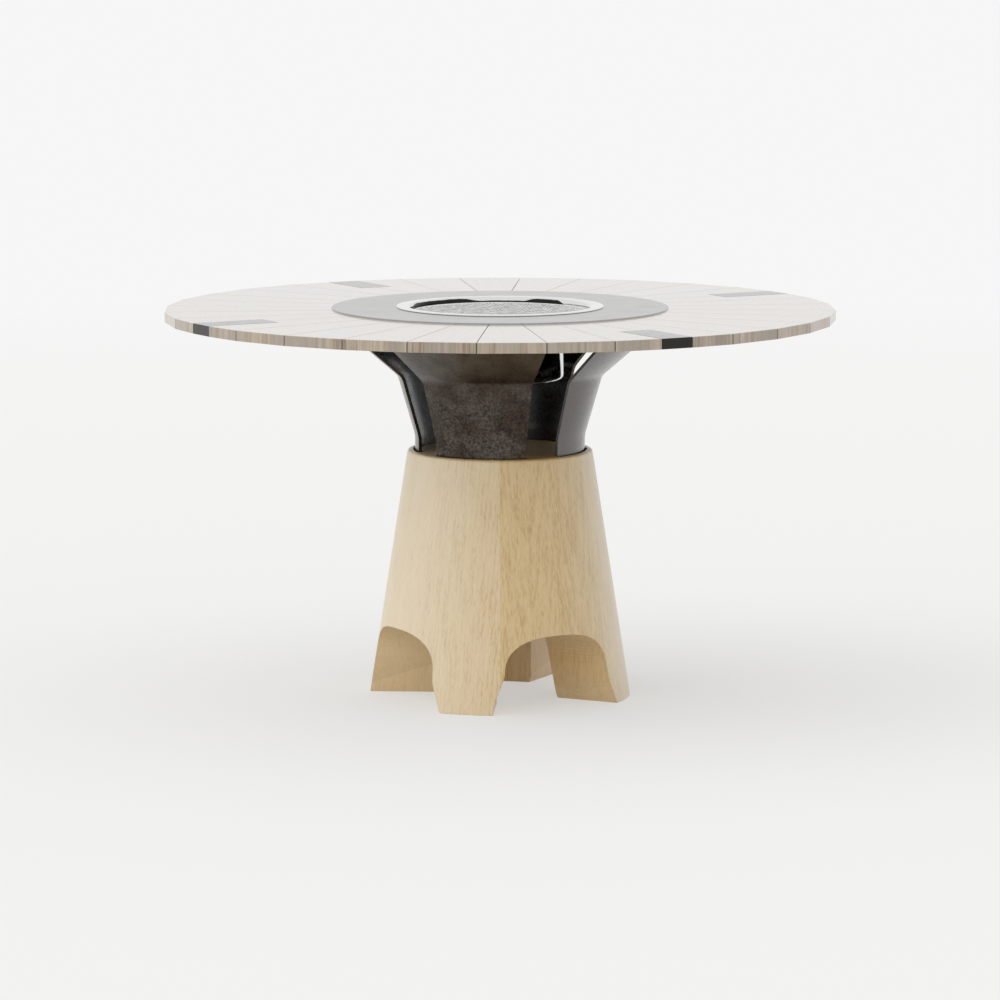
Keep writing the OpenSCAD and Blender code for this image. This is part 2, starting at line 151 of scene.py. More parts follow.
class GrillTableSteel(bpy.types.PropertyGroup):
    """Colours of the metal parts."""

    patina_brown: tint("Patina, brown", "Warm patches of the petals", "#35291D")
    patina_grey: tint("Patina, grey", "Cool patches of the petals", "#4C453C")
    patina_dark: tint("Patina, dark", "Mill scale left on the petals", "#15110B")
    # Painted sheen: the pale tone painted on the petal at the front right.
    petal_sheen: tint("Patina, pale", "Tone of the palest petal", "#6E6B69")
    # Painted reflection: the blue-grey painted on the inner face of the petal at the back left.
    inner_reflection: tint("Patina, inner", "Worn scale on an inner face", "#858A90")
    blackened: tint("Blackened steel", "End plates", "#1A150D")
    powder: tint("Powder coat", "Frame under the boards", "#1A1714")
    satin: tint("Satin steel", "Ring on the boards", "#AEADAB")
    polished: tint("Polished steel", "Fire bowl", "#E2E2E1")
    wire: tint("Grate wire", "Wires of the cooking grate", "#D8D8D6")
    cast: tint("Cast iron", "Charcoal grate", "#262523")
    zinc: tint("Zinc", "Screws, nuts and bolts", "#9A9CA0")


class GrillTableGrate(bpy.types.PropertyGroup):
    """Sizes of the woven cooking grate."""

    pitch: metres("Pitch", "Distance between neighbouring wires", 0.007)
    wire: metres("Wire", "Diameter of a wire", 0.0019)
    turn: degrees("Turn", "Direction of the wires round Z", 52)


class GrillTableDish(bpy.types.PropertyGroup):
    """Sizes of the fire bowl's dish, taken at the underside of its sheet, and of its painted dark reflection.
    """

    thickness: metres("Sheet", "Thickness of the sheet", 0.002)
    floor_start: metres("Floor start", "From the middle to the floor's inner edge", 0.138)
    wall: metres("Wall", "From the middle to the foot of the wall", 0.176)
    lean: metres("Wall lean", "How far the wall leans out to its top", 0.001)
    rim: metres("Rim", "From the middle to the edge of the rim", 0.202)
    foot_bend: metres("Foot bend", "Reach of the bend at the foot of the wall", 0.004)
    rim_bend: metres("Rim bend", "Reach of the bend from the wall to the rim", 0.006)
    # The colour, height and climb of the dark reflection painted on the foot of the dish's wall.
    dark_reflection: tint("Soot", "Colour of the soot on the wall", "#2A2926")
    dark_reflection_top: metres("Soot top", "Height of the soot over the dish's underside", 0.0101)
    dark_reflection_climb: metres("Soot climb", "How much higher the soot reaches in two places", 0.0045)


class GrillTableStudio(bpy.types.PropertyGroup):
    """Floor, background and key light."""

    floor: tint("Floor", "Colour of the floor", "#EEEEED")
    floor_radius: metres("Floor radius", "Radius of the floor", 8.3)
    glow: bpy.props.FloatProperty(
        name="Floor glow",
        description="Share of plain white in what the camera sees of the floor",
        default=0.5,
    )
    white: tint("Floor white", "The plain white of the floor", "#EFEFEE")
    backdrop: tint("Background", "Colour of the light all round", "#F6F6F6")
    key: bpy.props.FloatProperty(name="Key light", description="Strength of the key light", default=1.1)
    key_side: degrees("Key side", "Direction the key comes from, from +X", 162)
    key_height: degrees("Key height", "Height of the key above the floor", 27)
    key_spread: degrees("Key spread", "Angle that the key light covers", 80)


SETTINGS = {
    "grill_wood": GrillTableWood,
    "grill_steel": GrillTableSteel,
    "grill_grate": GrillTableGrate,
    "grill_dish": GrillTableDish,
    "grill_studio": GrillTableStudio,
}


# Nodes and pieces


def add(tree, kind, links=None, stops=None, **settings):
    """Adds a node: its own settings first, then each input's value or link, then the stops of a colour
    ramp. A node that is given as an input's value is linked by its first output."""
    node = tree.nodes.new(kind)
    for name, value in settings.items():
        setattr(node, name, value)
    for name, value in (links or {}).items():
        if isinstance(value, bpy.types.Node):
            value = value.outputs[0]
        if isinstance(value, bpy.types.NodeSocket):
            tree.links.new(value, node.inputs[name])
        else:
            node.inputs[name].default_value = value
    if stops:
        elements = node.color_ramp.elements
        while len(elements) < len(stops):
            elements.new(1)
        for element, (place, colour) in zip(elements, stops):
            element.position = place
            element.color = (*colour, 1)
    return node


def blank(name, **uniform):
    """A new material with its tree and its shader. Values that are the same all over go on the shader's
    sockets."""
    made = bpy.data.materials.new(name)
    made.use_nodes = True
    shader = made.node_tree.nodes["Principled BSDF"]
    for socket, value in uniform.items():
        shader.inputs[socket.replace("_", " ")].default_value = value
    return made, made.node_tree, shader


def dress(tree, shader, colour, gloss, rough, relief, strength, depth, **more):
    """Links a finish to its shader. The roughness follows the pattern gloss between the two values of rough,
    and the bump follows the pattern relief with its strength and its depth in metres."""
    rough = add(
        tree, "ShaderNodeMapRange", {"Value": gloss, **NOISE_RANGE, "To Min": rough[0], "To Max": rough[1]}
    )
    bump = add(tree, "ShaderNodeBump", {"Height": relief, "Strength": strength, "Distance": depth, **more})
    tree.links.new(colour, shader.inputs["Base Color"])
    tree.links.new(rough.outputs[0], shader.inputs["Roughness"])
    tree.links.new(bump.outputs[0], shader.inputs["Normal"])


def finish(names, made):
    """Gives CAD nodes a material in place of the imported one."""
    for name in names:
        slots = NODES[name].data.materials
        for i in range(len(slots)):
            slots[i] = made
        if not slots:
            slots.append(made)


def piece(name, points, faces, made, body, replaces=(), smooth=False):
    """A new mesh object at the origin, with its material. It rides on its body and takes the place of the
    CAD nodes that it replaces."""
    mesh = bpy.data.meshes.new(name)
    mesh.from_pydata(points.tolist(), [], faces)
    mesh.materials.append(made)
    mesh.polygons.foreach_set("use_smooth", np.full(len(mesh.polygons), smooth))
    mesh.update()
    made_piece = bpy.data.objects.new(name, mesh)
    bpy.context.scene.collection.objects.link(made_piece)
    if body:
        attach(made_piece, body)
    if replaces:
        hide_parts(*replaces)
    return made_piece


def inset(outline, distance):
    """Moves each side of an anticlockwise outline in by a distance: a corner goes along the sum of its two
    inward normals, divided by one plus their dot product."""
    along = np.roll(outline, -1, 0) - outline
    along /= np.linalg.norm(along, axis=1, keepdims=True)
    after = np.stack([-along[:, 1], along[:, 0]], 1)
    before = np.roll(after, 1, 0)
    return outline + distance * (before + after) / (1 + (before * after).sum(1, keepdims=True))


def eased_slab(outline, low, high, radius, steps=3):
    """An outline carried from low to high with both edges eased: at each turn of a quarter circle the outline
    goes in by the radius times one minus the cosine, and up by the radius times the sine."""
    turn = np.linspace(0, math.pi / 2, steps + 1)
    ins = radius * (1 - np.cos(turn))
    rise = radius * np.sin(turn)
    depths = np.concatenate([ins[::-1], ins])
    heights = np.concatenate([low + radius - rise[::-1], high - radius + rise])
    count, levels = len(outline), len(depths)
    rings = [np.column_stack([inset(outline, d), np.full(count, z)]) for d, z in zip(depths, heights)]
    here = np.arange(count)
    there = (here + 1) % count
    lift = count * np.arange(levels - 1)[:, None]
    sides = np.stack([here + lift, there + lift, there + lift + count, here + lift + count], -1)
    caps = [here[::-1].tolist(), (here + count * (levels - 1)).tolist()]
    return np.concatenate(rings), sides.reshape(-1, 4).tolist() + caps


# Wood


def board_wood(wood):
    """Bleached oak, planed and oiled: stripes of cream, tan and grey along each board, in glued strips."""
    made, tree, shader = blank("bleached oak, planed and oiled", Coat_Weight=1.0, Coat_Roughness=0.12)
    # Each board carries its own stretch of the pattern, as grain, and its own tone.
    grain = add(tree, "ShaderNodeAttribute", attribute_name="grain").outputs["Vector"]
    tone = add(tree, "ShaderNodeAttribute", attribute_name="tone").outputs["Fac"]
    across = add(tree, "ShaderNodeSeparateXYZ", {0: grain}).outputs["Y"]
    # Strips about 30 mm wide are glued up into each board, each with its own tone.
    strip = add(tree, "ShaderNodeTexVoronoi", {"W": across, "Scale": per(30)}, voronoi_dimensions="1D")
    strips = add(tree, "ShaderNodeSeparateColor", {0: strip.outputs["Color"]})
    # Year rings stand on edge: bands of about 7 mm and lines of about 2 mm that run along the board.
    wide_at = add(tree, "ShaderNodeMapping", {"Vector": grain, "Scale": (per(700), per(7), per(120))})
    wide = add(tree, "ShaderNodeTexNoise", {"Vector": wide_at, "Scale": 1, "Detail": 2, "Roughness": 0.5})
    fine_at = add(tree, "ShaderNodeMapping", {"Vector": grain, "Scale": (per(240), per(1.9), per(60))})
    fine = add(tree, "ShaderNodeTexNoise", {"Vector": fine_at, "Scale": 1, "Detail": 3, "Roughness": 0.6})
    value = add(tree, "ShaderNodeMath", {0: wide.outputs["Fac"], 1: 1.5, 2: -0.75}, operation="MULTIPLY_ADD")
    # The share of the fine lines, of the strips and of the whole board in the tone.
    for part, share in ((fine.outputs["Fac"], 1.1), (strips.outputs["Red"], 0.34), (tone, 0.3)):
        value = add(tree, "ShaderNodeMath", {0: part, 1: share, 2: value}, operation="MULTIPLY_ADD")
    value = add(tree, "ShaderNodeMath", {0: value, 1: 0.36}, operation="SUBTRACT")
    colour = add(
        tree,
        "ShaderNodeValToRGB",
        {0: value},
        stops=[(0.1, wood.top_dark), (0.5, wood.top_middle), (0.95, wood.top_light)],
    )
    silver = add(tree, "ShaderNodeMath", {0: strips.outputs["Green"], 1: 0.75}, operation="MULTIPLY")
    greyed = add(
        tree,
        "ShaderNodeMix",
        {0: silver, 6: colour.outputs["Color"], 7: (*wood.top_grey, 1)},
        data_type="RGBA",
    )
    # Open pores: dark flecks about 0.6 mm wide and 12 mm long.
    pore_at = add(tree, "ShaderNodeMapping", {"Vector": grain, "Scale": (per(12), per(0.6), per(1.5))})
    pore = add(tree, "ShaderNodeTexNoise", {"Vector": pore_at, "Scale": 1, "Detail": 1})
    pored = add(
        tree,
        "ShaderNodeMapRange",
        {"Value": pore.outputs["Fac"], "From Min": 0.62, "From Max": 0.74, "To Min": 1.0, "To Max": 0.78},
    )
    final = add(
        tree,
        "ShaderNodeMix",
        {0: 1.0, 6: greyed.outputs[2], 7: pored},
        data_type="RGBA",
        blend_type="MULTIPLY",
    )
    # The upper face is painted pale with little grain: a painted sheen standing in for the light that it
    # mirrors.
    # The cut ends drink more oil and are darker, and dirt stays where two boards meet.
    up = add(tree, "ShaderNodeNewGeometry").outputs["Normal"]
    up = add(tree, "ShaderNodeSeparateXYZ", {0: up}).outputs["Z"]
    painted_sheen = add(tree, "ShaderNodeMapRange", {"Value": up, "From Min": 0.4, "From Max": 0.9, "To Max": 0.78})
    paled = add(
        tree,
        "ShaderNodeMix",
        {0: painted_sheen, 6: final.outputs[2], 7: (*wood.top_sheen, 1)},
        data_type="RGBA",
    )
    cut = add(tree, "ShaderNodeMapRange", {"Value": up, "From Min": 0.5, "From Max": 0.1})
    oiled = add(
        tree,
        "ShaderNodeMix",
        {0: cut, 6: paled.outputs[2], 7: (*wood.top_end, 1)},
        data_type="RGBA",
        blend_type="MULTIPLY",
    )
    side = add(tree, "ShaderNodeAttribute", attribute_name="side").outputs["Fac"]
    side = add(tree, "ShaderNodeMath", {0: side}, operation="ABSOLUTE")
    joint = add(tree, "ShaderNodeMapRange", {"Value": side, "From Min": 0.975, "From Max": 0.99})
    joint = add(tree, "ShaderNodeMath", {0: joint, 1: cut}, operation="MULTIPLY")
    joint = add(tree, "ShaderNodeMath", {0: joint, 1: 0.6}, operation="MULTIPLY")
    final = add(
        tree,
        "ShaderNodeMix",
        {0: joint, 6: oiled.outputs[2], 7: (*wood.top_joint, 1)},
        data_type="RGBA",
    )
    lines = fine.outputs["Fac"]
    dress(tree, shader, final.outputs[2], lines, rough=(0.3, 0.42), relief=lines, strength=0.25, depth=0.0003)
    return made


def base_wood(wood):
    """White oak, turned and oiled: upright staves. Every second pair of staves is flat-sawn and shows
    arches of grain, and the others are quarter-sawn and show straight fine lines."""
    made, tree, shader = blank("white oak, turned and oiled", Coat_Weight=0.9, Coat_Roughness=0.4)
    place = add(tree, "ShaderNodeTexCoord").outputs["Object"]
    parts = add(tree, "ShaderNodeSeparateXYZ", {0: place})
    angle = add(tree, "ShaderNodeMath", {0: parts.outputs["Y"], 1: parts.outputs["X"]}, operation="ARCTAN2")
    step = 2 * math.pi / wood.stave_count
    stave = add(tree, "ShaderNodeMath", {0: angle, 1: step}, operation="DIVIDE")
    stave = add(tree, "ShaderNodeMath", {0: stave}, operation="FLOOR")
    back = add(tree, "ShaderNodeMath", {0: stave, 1: -step, 2: -step / 2}, operation="MULTIPLY_ADD")
    # Turning each stave onto the X axis gives its depth as X, its width as Y and its height as Z.
    turned = add(tree, "ShaderNodeVectorRotate", {"Vector": place, "Angle": back}, rotation_type="Z_AXIS")
    # Each stave shows its own stretch of the pattern, 1.37 m along X and Z from its neighbour's.
    shift = add(tree, "ShaderNodeMath", {0: stave, 1: 1.37}, operation="MULTIPLY")
    shift = add(tree, "ShaderNodeCombineXYZ", {"X": shift, "Z": shift})
    local = add(tree, "ShaderNodeVectorMath", {0: turned, 1: shift}, operation="ADD")
    bits = add(tree, "ShaderNodeSeparateXYZ", {0: turned})
    # Figure of a flat-sawn stave: depth over 60 mm plus the square of width over 54 mm.
    arch = add(tree, "ShaderNodeMath", {0: bits.outputs["Y"], 1: per(54)}, operation="MULTIPLY")
    arch = add(tree, "ShaderNodeMath", {0: arch, 1: 2.0}, operation="POWER")
    flat = add(tree, "ShaderNodeMath", {0: bits.outputs["X"], 1: per(60), 2: arch}, operation="MULTIPLY_ADD")
    # Figure of a quarter-sawn stave: width over 30 mm plus 0.3 times the depth over 30 mm.
    straight = add(tree, "ShaderNodeMath", {0: bits.outputs["X"], 1: 0.3 * per(30)}, operation="MULTIPLY")
    straight = add(
        tree, "ShaderNodeMath", {0: bits.outputs["Y"], 1: per(30), 2: straight}, operation="MULTIPLY_ADD"
    )
    # The sine of 45 degrees, plus 90 for each stave, is positive for two staves and negative for the next
    # two.
    pair = add(tree, "ShaderNodeMath", {0: stave, 1: math.pi / 2, 2: math.pi / 4}, operation="MULTIPLY_ADD")
    pair = add(tree, "ShaderNodeMath", {0: pair}, operation="SINE")
    pair = add(tree, "ShaderNodeMath", {0: pair, 1: 0.0}, operation="GREATER_THAN")
    figure = add(tree, "ShaderNodeMix", {0: pair, 2: straight, 3: flat})
    wander_at = add(tree, "ShaderNodeMapping", {"Vector": local, "Scale": (per(110), per(80), per(420))})
    wander = add(tree, "ShaderNodeTexNoise", {"Vector": wander_at, "Scale": 1, "Detail": 2})
    figure = add(
        tree, "ShaderNodeMath", {0: wander.outputs["Fac"], 1: 0.7, 2: figure}, operation="MULTIPLY_ADD"
    )
    # Seven year rings to two units of the figure, each a slow rise to dark late wood and a quick fall.
    ring = add(tree, "ShaderNodeMath", {0: figure, 1: 3.5}, operation="MULTIPLY")
    ring = add(tree, "ShaderNodeMath", {0: ring}, operation="FRACT")
    grey = [(v, v, v) for v in (0.0, 0.35, 1.0, 0.0)]
    ring = add(tree, "ShaderNodeValToRGB", {0: ring}, stops=list(zip((0.0, 0.45, 0.85, 1.0), grey)))
    # Fibres 40 mm long and softer bands about 14 mm wide. The fibres are drawn 2.4 mm wide, because their
    # real 0.5 mm is too fine to show.
    fibre_at = add(tree, "ShaderNodeMapping", {"Vector": local, "Scale": (per(2.4), per(2.4), per(40))})
    fibre = add(tree, "ShaderNodeTexNoise", {"Vector": fibre_at, "Scale": 1, "Detail": 3, "Roughness": 0.6})
    band_at = add(tree, "ShaderNodeMapping", {"Vector": local, "Scale": (per(14), per(14), per(500))})
    band = add(tree, "ShaderNodeTexNoise", {"Vector": band_at, "Scale": 1, "Detail": 2})
    noise = add(tree, "ShaderNodeTexWhiteNoise", {"W": stave}, noise_dimensions="1D")
    value = add(
        tree, "ShaderNodeMath", {0: ring.outputs["Color"], 1: -0.15, 2: 0.42}, operation="MULTIPLY_ADD"
    )
    # The share of the fibres, of the bands and of the whole stave in the tone.
    shares = ((fibre.outputs["Fac"], 1.2), (band.outputs["Fac"], 0.7), (noise.outputs["Value"], 0.16))
    for part, share in shares:
        value = add(tree, "ShaderNodeMath", {0: part, 1: share, 2: value}, operation="MULTIPLY_ADD")
    value = add(tree, "ShaderNodeMath", {0: value, 1: 0.86}, operation="SUBTRACT")
    colour = add(
        tree,
        "ShaderNodeValToRGB",
        {0: value},
        stops=[(0.1, wood.base_dark), (0.5, wood.base_middle), (0.9, wood.base_light)],
    )
    # Flat-sawn staves are a little darker and yellower.
    tinted = add(
        tree,
        "ShaderNodeMix",
        {0: pair, 6: colour.outputs["Color"], 7: (*wood.base_flat, 1)},
        data_type="RGBA",
        blend_type="MULTIPLY",
    )
    # Two opposite sides of the base are painted paler: a painted sheen, standing in for the key light and the
    # gloss on them. That is a guess: they may only have been lit more.
    flat_place = add(tree, "ShaderNodeVectorMath", {0: place, 1: (1, 1, 0)}, operation="MULTIPLY")
    around = add(tree, "ShaderNodeVectorMath", {0: flat_place}, operation="NORMALIZE")
    lit_side = add(tree, "ShaderNodeVectorMath", {0: around, 1: LIT_SIDE}, operation="DOT_PRODUCT")
    lit_side = add(tree, "ShaderNodeMath", {0: lit_side.outputs["Value"]}, operation="ABSOLUTE")
    painted_sheen = add(
        tree,
        "ShaderNodeMapRange",
        {"Value": lit_side, "From Min": 0.3, "From Max": 0.95, "To Max": 0.55},
    )
    paled = add(
        tree,
        "ShaderNodeMix",
        {0: painted_sheen, 6: tinted.outputs[2], 7: (*wood.base_sheen, 1)},
        data_type="RGBA",
    )
    # The sawn faces of the arches took more oil, so they are yellower.
    normal = add(tree, "ShaderNodeNewGeometry").outputs["Normal"]
    outward = add(tree, "ShaderNodeVectorMath", {0: normal, 1: around}, operation="DOT_PRODUCT")
    sawn = add(
        tree, "ShaderNodeMapRange", {"Value": outward.outputs["Value"], "From Min": 0.85, "From Max": 0.8}
    )
    oiled = add(
        tree,
        "ShaderNodeMix",
        {0: sawn, 6: paled.outputs[2], 7: (*wood.base_sawn, 1)},
        data_type="RGBA",
        blend_type="MULTIPLY",
    )
    # The bevel shades the edges as if they were eased by 2 mm.
    soft = add(tree, "ShaderNodeBevel", {"Radius": 0.002}, samples=4)
    dress(
        tree,
        shader,
        oiled.outputs[2],
        fibre.outputs["Fac"],
        rough=(0.36, 0.48),
        relief=fibre.outputs["Fac"],
        strength=0.25,
        depth=0.0003,
        Normal=soft,
    )
    return made


# Metal


def patinated(steel):
    """Hot-rolled steel, patinated and waxed: brown and grey clouds, dark mill scale and fine speckle, low
    gloss. The inner faces are matt black as painted shade, apart from one with a painted reflection."""
    made, tree, shader = blank("hot-rolled steel, patinated and waxed", Coat_Weight=0.4, Coat_Roughness=0.25)
    place = add(tree, "ShaderNodeTexCoord").outputs["Object"]
    # Clouds of about 70 mm, patches of mill scale of about 16 mm and speckle of about 4.5 mm.
    clouds = add(
        tree, "ShaderNodeTexNoise", {"Vector": place, "Scale": per(70), "Detail": 4, "Roughness": 0.6}
    )
    blots = add(
        tree,
        "ShaderNodeTexNoise",
        {"Vector": place, "Scale": per(16), "Detail": 5, "Roughness": 0.7, "Distortion": 0.4},
    )
    speckle = add(
        tree, "ShaderNodeTexNoise", {"Vector": place, "Scale": per(4.5), "Detail": 2, "Roughness": 0.6}
    )
    height = add(tree, "ShaderNodeSeparateXYZ", {0: place}).outputs["Z"]
    lower = add(tree, "ShaderNodeMapRange", {"Value": height, **SCALE_FADE, "To Min": 0.25, "To Max": 1.0})
    cloudy = add(
        tree,
        "ShaderNodeMapRange",
        {"Value": clouds.outputs["Fac"], "From Min": 0.36, "From Max": 0.64},
        interpolation_type="SMOOTHSTEP",
    )
    colour = add(
        tree,
        "ShaderNodeMix",
        {0: cloudy, 6: (*steel.patina_brown, 1), 7: (*steel.patina_grey, 1)},
        data_type="RGBA",
    )
    blotted = add(
        tree,
        "ShaderNodeMapRange",
        {"Value": blots.outputs["Fac"], "From Min": 0.5, "From Max": 0.68, "To Min": 0.0, "To Max": 0.75},
        interpolation_type="SMOOTHSTEP",
    )
    blotted = add(tree, "ShaderNodeMath", {0: blotted, 1: lower}, operation="MULTIPLY")
    colour = add(
        tree,
        "ShaderNodeMix",
        {0: blotted, 6: colour.outputs[2], 7: (*steel.patina_dark, 1)},
        data_type="RGBA",
    )
    dotted = add(
        tree,
        "ShaderNodeMapRange",
        {"Value": speckle.outputs["Fac"], "From Min": 0.35, "From Max": 0.65, "To Min": 0.35, "To Max": 1.6},
    )
    dots = add(
        tree,
        "ShaderNodeMix",
        {0: lower, 6: colour.outputs[2], 7: dotted},
        data_type="RGBA",
        blend_type="MULTIPLY",
    )
    # The petal at the front right is painted palest: a painted sheen standing in for the bright light that it
    # mirrors. That is a guess: it may only have stood in more light.
    flat_place = add(tree, "ShaderNodeVectorMath", {0: place, 1: (1, 1, 0)}, operation="MULTIPLY")
    around = add(tree, "ShaderNodeVectorMath", {0: flat_place}, operation="NORMALIZE")
    around = add(tree, "ShaderNodeVectorMath", {0: around, 1: SHEEN_CORNER}, operation="DOT_PRODUCT")
    pale_sheen = add(
        tree,
        "ShaderNodeMapRange",
        {"Value": around.outputs["Value"], "From Min": 0.85, "From Max": 1.1, "To Max": 0.85},
    )
    toned = add(
        tree,
        "ShaderNodeMix",
        {0: pale_sheen, 6: dots.outputs[2], 7: (*steel.petal_sheen, 1)},
        data_type="RGBA",
    )
    # A face whose normal points to the axis of the table is an inner face. It is matt and black, darkened as
    # painted shade, apart from the petal at the back left, whose inner face is painted blue-grey as a painted
    # reflection.
    normal = add(tree, "ShaderNodeNewGeometry").outputs["Normal"]
    facing = add(tree, "ShaderNodeVectorMath", {0: normal, 1: flat_place}, operation="DOT_PRODUCT")
    inner = add(tree, "ShaderNodeMath", {0: facing.outputs["Value"], 1: -0.02}, operation="LESS_THAN")
    reflection_share = add(
        tree, "ShaderNodeMapRange", {"Value": around.outputs["Value"], "From Min": -0.85, "From Max": -1.1}
    )
    inner_colour = add(
        tree,
        "ShaderNodeMix",
        {0: reflection_share, 6: (*steel.powder, 1), 7: (*steel.inner_reflection, 1)},
        data_type="RGBA",
    )
    final = add(
        tree,
        "ShaderNodeMix",
        {0: inner, 6: toned.outputs[2], 7: inner_colour.outputs[2]},
        data_type="RGBA",
    )
    bare = add(tree, "ShaderNodeMath", {0: 1.0, 1: inner}, operation="SUBTRACT")
    pits = add(tree, "ShaderNodeMath", {0: speckle.outputs["Fac"], 1: bare}, operation="MULTIPLY")
    tree.links.new(bare.outputs[0], shader.inputs["Metallic"])
    blotch = blots.outputs["Fac"]
    dress(tree, shader, final.outputs[2], blotch, rough=(0.2, 0.32), relief=pits, strength=0.2, depth=0.0002)
    return made


def plain_metal(name, colour, size, rough, depth, spread=0.12, **uniform):
    """A metal whose colour and gloss vary over patches of a size in millimetres: the colour by the spread,
    and the roughness between the two values of rough. The depth of its bump is in metres."""
    made, tree, shader = blank(name, **uniform)
    place = add(tree, "ShaderNodeTexCoord").outputs["Object"]
    patches = add(
        tree, "ShaderNodeTexNoise", {"Vector": place, "Scale": per(size), "Detail": 4, "Roughness": 0.6}
    )
    shade = add(
        tree,
        "ShaderNodeMapRange",
        {"Value": patches.outputs["Fac"], **NOISE_RANGE, "To Min": 1 - spread, "To Max": 1 + spread},
    )
    final = add(
        tree, "ShaderNodeMix", {0: 1.0, 6: (*colour, 1), 7: shade}, data_type="RGBA", blend_type="MULTIPLY"
    )
    pattern = patches.outputs["Fac"]
    dress(tree, shader, final.outputs[2], pattern, rough, relief=pattern, strength=0.2, depth=depth)
    return made


def painted_reflection(tree, place, radius, height, unpainted, dish, low):
    """A dark reflection painted on the foot of the dish's wall. It covers the wall from its foot to a height
    that wanders a little. That height is greater over two stretches of the angle round the middle of the
    table, and lower over a third one, where the wall stays bright. All this is a guess: the real dark bands
    may be reflections."""
    parts = add(tree, "ShaderNodeSeparateXYZ", {0: place})
    angle = add(tree, "ShaderNodeMath", {0: parts.outputs["Y"], 1: parts.outputs["X"]}, operation="ARCTAN2")
    top = low + dish.dark_reflection_top
    for middle, inside, outside, times in DARK_REFLECTION_STRETCHES:
        away = add(tree, "ShaderNodeMath", {0: angle, 1: math.radians(middle)}, operation="SUBTRACT")
        away = add(tree, "ShaderNodeMath", {0: away}, operation="ABSOLUTE")
        climb = add(
            tree,
            "ShaderNodeMapRange",
            {
                "Value": away,
                "From Min": math.radians(outside),
                "From Max": math.radians(inside),
                "To Max": dish.dark_reflection_climb * times,
            },
            interpolation_type="SMOOTHSTEP",
        )
        top = add(tree, "ShaderNodeMath", {0: top, 1: climb}, operation="ADD")
    wander = add(tree, "ShaderNodeTexNoise", {"Vector": place, "Scale": per(18), "Detail": 3})
    wander = add(
        tree,
        "ShaderNodeMapRange",
        {"Value": wander.outputs["Fac"], "To Min": -DARK_REFLECTION_WANDER, "To Max": DARK_REFLECTION_WANDER},
    )
    top = add(tree, "ShaderNodeMath", {0: top, 1: wander}, operation="ADD")
    under = add(tree, "ShaderNodeMath", {0: top, 1: height}, operation="SUBTRACT")
    under = add(tree, "ShaderNodeMapRange", {"Value": under, "From Min": -DARK_REFLECTION_SOFT, "From Max": DARK_REFLECTION_SOFT})
    wall = add(
        tree,
        "ShaderNodeMapRange",
        {"Value": radius, "From Min": dish.wall - DARK_REFLECTION_WALL[0], "From Max": dish.wall - DARK_REFLECTION_WALL[1]},
    )
    share = add(tree, "ShaderNodeMath", {0: under, 1: wall}, operation="MULTIPLY")
    mixed = add(tree, "ShaderNodeMix", {0: share, 6: unpainted, 7: (*dish.dark_reflection, 1)}, data_type="RGBA")
    return mixed.outputs[2]


def turned_metal(name, colour, spacing, rough, depth, dish=None, low=0.0):
    """Steel finished on a lathe: fine lines, their spacing in millimetres, run round the middle of the
    table. A line's tone depends only on its distance from the middle and its height. A dish, whose underside
    is at the height low, also gets the dark reflection painted on its wall."""
    made, tree, shader = blank(name, Metallic=1.0)
    place = add(tree, "ShaderNodeTexCoord").outputs["Object"]
    flat_place = add(tree, "ShaderNodeVectorMath", {0: place, 1: (1, 1, 0)}, operation="MULTIPLY")
    radius = add(tree, "ShaderNodeVectorMath", {0: flat_place}, operation="LENGTH")
    height = add(tree, "ShaderNodeSeparateXYZ", {0: place}).outputs["Z"]
    lines_at = add(tree, "ShaderNodeCombineXYZ", {"X": radius.outputs["Value"], "Y": height})
    lines = add(
        tree,
        "ShaderNodeTexNoise",
        {"Vector": lines_at, "Scale": per(spacing), "Detail": 3, "Roughness": 0.7},
    )
    # Smears of about 60 mm make the gloss uneven.
    smears = add(tree, "ShaderNodeTexNoise", {"Vector": place, "Scale": per(60), "Detail": 3})
    shade = add(
        tree,
        "ShaderNodeMapRange",
        {"Value": lines.outputs["Fac"], **NOISE_RANGE, "To Min": 0.96, "To Max": 1.04},
    )
    final = add(
        tree, "ShaderNodeMix", {0: 1.0, 6: (*colour, 1), 7: shade}, data_type="RGBA", blend_type="MULTIPLY"
    )
    seen = final.outputs[2]
    if dish:
        seen = painted_reflection(tree, place, radius.outputs["Value"], height, seen, dish, low)
    dress(
        tree,
        shader,
        seen,
        smears.outputs["Fac"],
        rough,
        relief=lines.outputs["Fac"],
        strength=0.12,
        depth=depth,
    )
    return made


# Shapes


